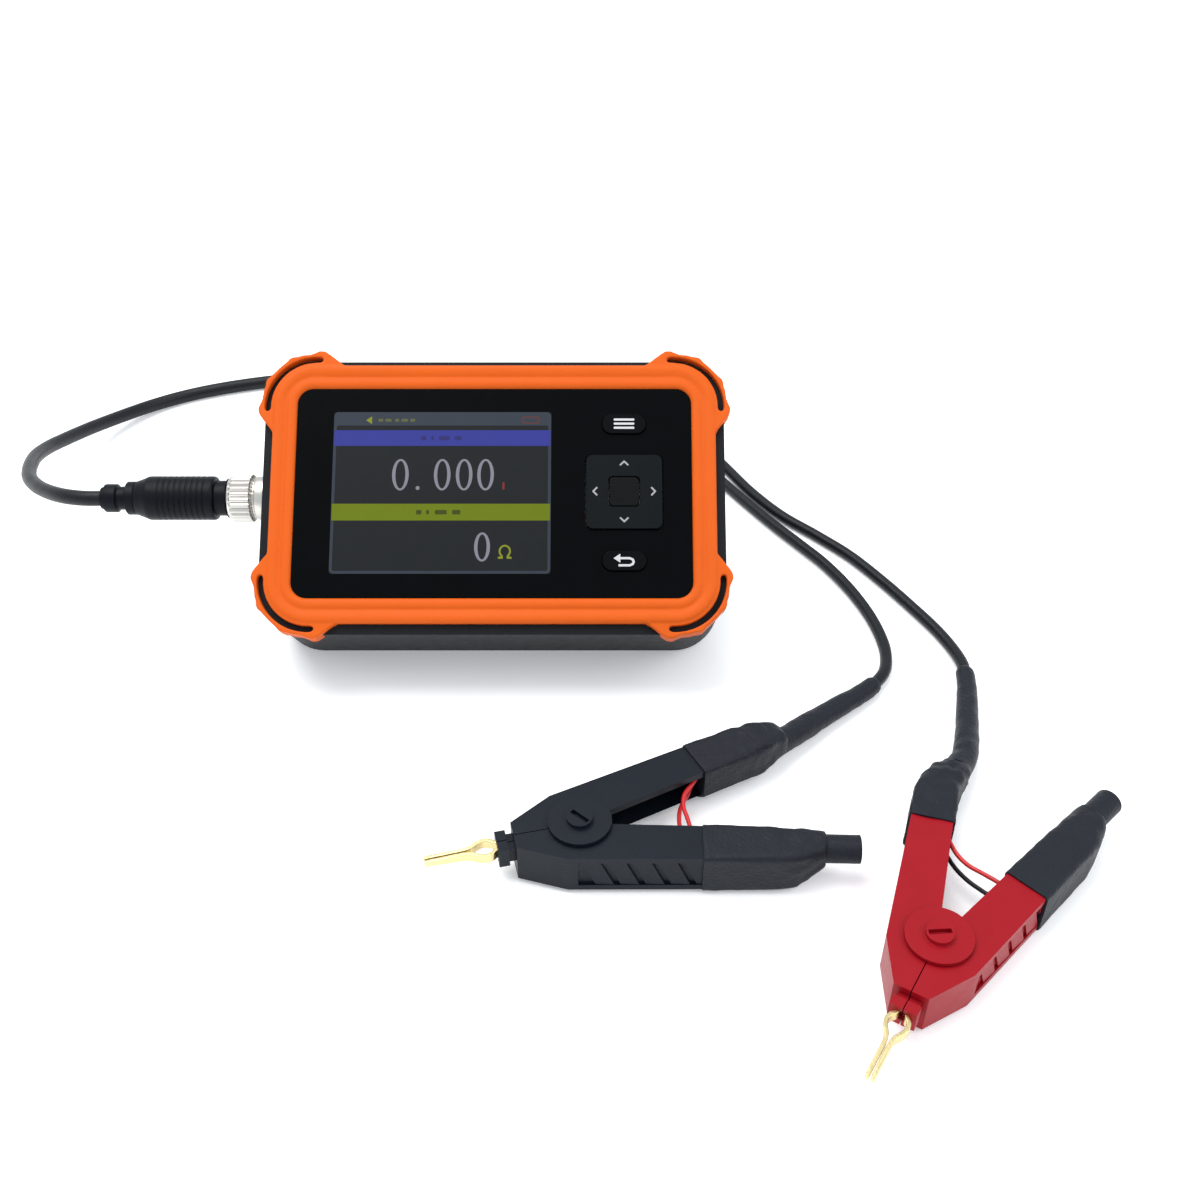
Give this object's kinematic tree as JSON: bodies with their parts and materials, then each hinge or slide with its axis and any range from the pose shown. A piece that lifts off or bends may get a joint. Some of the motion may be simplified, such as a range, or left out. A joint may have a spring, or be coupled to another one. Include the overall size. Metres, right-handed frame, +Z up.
{
  "type": "lcr meter",
  "caption": "Handheld LCR meter in an orange bumper frame, leaning back on a fold-out stand, with a four-pole plug and a test lead to a black and a red Kelvin clip.",
  "frame": {"origin": "middle of the flat along the rear bottom edge of the case, on the table", "axes": "+X to the reader's right along the case, +Y away from the reader, +Z up; the meter leans back 50 degrees on its stand"},
  "size_m": [0.2525, 0.2406, 0.0604],
  "materials": {
    "silicone": "soft matt orange",
    "case": "fine texture, dark slate",
    "panel": "glossy black",
    "window": "clear, tinted",
    "screen": "lit colour display",
    "white": "smooth",
    "flex": "amber film",
    "board": "solder mask",
    "chips": "matt black",
    "tin": "tinned",
    "cell": "foil pouch",
    "screw_steel": "black oxide",
    "keys": "satin, white marks",
    "gimbal": "smooth acetal",
    "stand": "fine texture",
    "nickel": "satin nickel",
    "contacts": "gold plated",
    "overmould": "satin black",
    "cable": "smooth black jacket",
    "sleeve": "heat-shrink",
    "black_clip": "moulded, dark slate",
    "red_clip": "moulded red",
    "jaw": "pale gold plate",
    "spring": "spring wire",
    "link": "thin insulated wire"
  },
  "bodies": {
    "meter": {"bumper_frame": "silicone", "front_shell": "case", "rear_shell": "case", "front_panel": "panel", "display_window": "window", "display_glass": "screen", "backlight_frame": "white", "display_flex": "flex", "main_board": "board", "board_chips": "chips", "tact_switches": "tin", "battery": "cell", "buzzer": "chips", "usb_port": "tin", "case_screws": "screw_steel", "lead_socket": "nickel", "socket_nut": "nickel", "socket_contacts": "contacts", "plug_body": "overmould", "plug_pins": "contacts", "strain_relief": "overmould", "main_cable": "cable", "lead_splitter": "overmould", "black_lead": "cable", "red_lead": "cable", "black_fixed_arm": "black_clip", "black_fixed_jaw": "jaw", "black_pivot_screw": "black_clip", "black_pivot_cap": "black_clip", "black_spring": "spring", "black_arm_sleeve": "sleeve", "black_cable_sleeve": "sleeve", "black_link_wires": "link", "red_fixed_arm": "red_clip", "red_fixed_jaw": "jaw", "red_pivot_screw": "red_clip", "red_pivot_cap": "red_clip", "red_spring": "spring", "red_arm_sleeve": "sleeve", "red_cable_sleeve": "sleeve", "red_link_wires": "link"},
    "menu_key": {"menu_key": "keys"},
    "back_key": {"back_key": "keys"},
    "pad_gimbal": {"pad_gimbal": "gimbal"},
    "direction_pad": {"direction_pad": "keys"},
    "ok_key": {"ok_key": "keys"},
    "stand_leg": {"stand_leg": "stand"},
    "plug_nut": {"plug_nut": "nickel"},
    "black_arm": {"black_moving_arm": "black_clip", "black_moving_jaw": "jaw", "black_end_sleeve": "sleeve", "black_wire_stub": "sleeve"},
    "red_arm": {"red_moving_arm": "red_clip", "red_moving_jaw": "jaw", "red_end_sleeve": "sleeve", "red_wire_stub": "sleeve"}
  },
  "joints": [
    {"name": "menu_press", "type": "slide", "parent": "meter", "child": "menu_key", "axis": [0, 0.6428, -0.766], "range_m": [0, 0.0003], "stiffness_N_per_m": 4000, "springref_m": -0.0002},
    {"name": "back_press", "type": "slide", "parent": "meter", "child": "back_key", "axis": [0, 0.6428, -0.766], "range_m": [0, 0.0003], "stiffness_N_per_m": 4000, "springref_m": -0.0002},
    {"name": "ok_press", "type": "slide", "parent": "meter", "child": "ok_key", "axis": [0, 0.6428, -0.766], "range_m": [0, 0.0003], "stiffness_N_per_m": 4000, "springref_m": -0.0002},
    {"name": "pad_tilt_side", "type": "hinge", "parent": "meter", "child": "pad_gimbal", "pos_m": [0.029, 0.00851, 0.03705], "axis": [0, 0.766, 0.6428], "range_deg": [-2.5, 2.5], "stiffness_Nm_per_rad": 0.05},
    {"name": "pad_tilt_up", "type": "hinge", "parent": "pad_gimbal", "child": "direction_pad", "pos_m": [0.029, 0.00851, 0.03705], "axis": [1, 0, 0], "range_deg": [-2.5, 2.5], "stiffness_Nm_per_rad": 0.05},
    {"name": "stand_fold", "type": "hinge", "parent": "meter", "child": "stand_leg", "pos_m": [0, 0.02974, 0.02458], "axis": [-1, 0, 0], "range_deg": [0, 60]},
    {"name": "plug_nut_turn", "type": "hinge", "parent": "meter", "child": "plug_nut", "pos_m": [-0.057, 0.01864, 0.0291], "axis": [-1, 0, 0], "continuous": true},
    {"name": "black_clip_squeeze", "type": "hinge", "parent": "meter", "child": "black_arm", "pos_m": [0.0197, -0.0641, 0.0055], "axis": [0, 0, 1], "range_deg": [0, 24], "stiffness_Nm_per_rad": 0.08, "springref_deg": -20.05, "deforming": ["black_spring", "black_link_wires"]},
    {"name": "red_clip_squeeze", "type": "hinge", "parent": "meter", "child": "red_arm", "pos_m": [0.0847, -0.0915, 0.0055], "axis": [0, 0, 1], "range_deg": [0, 24], "stiffness_Nm_per_rad": 0.08, "springref_deg": -20.05, "deforming": ["red_spring", "red_link_wires"]}
  ]
}
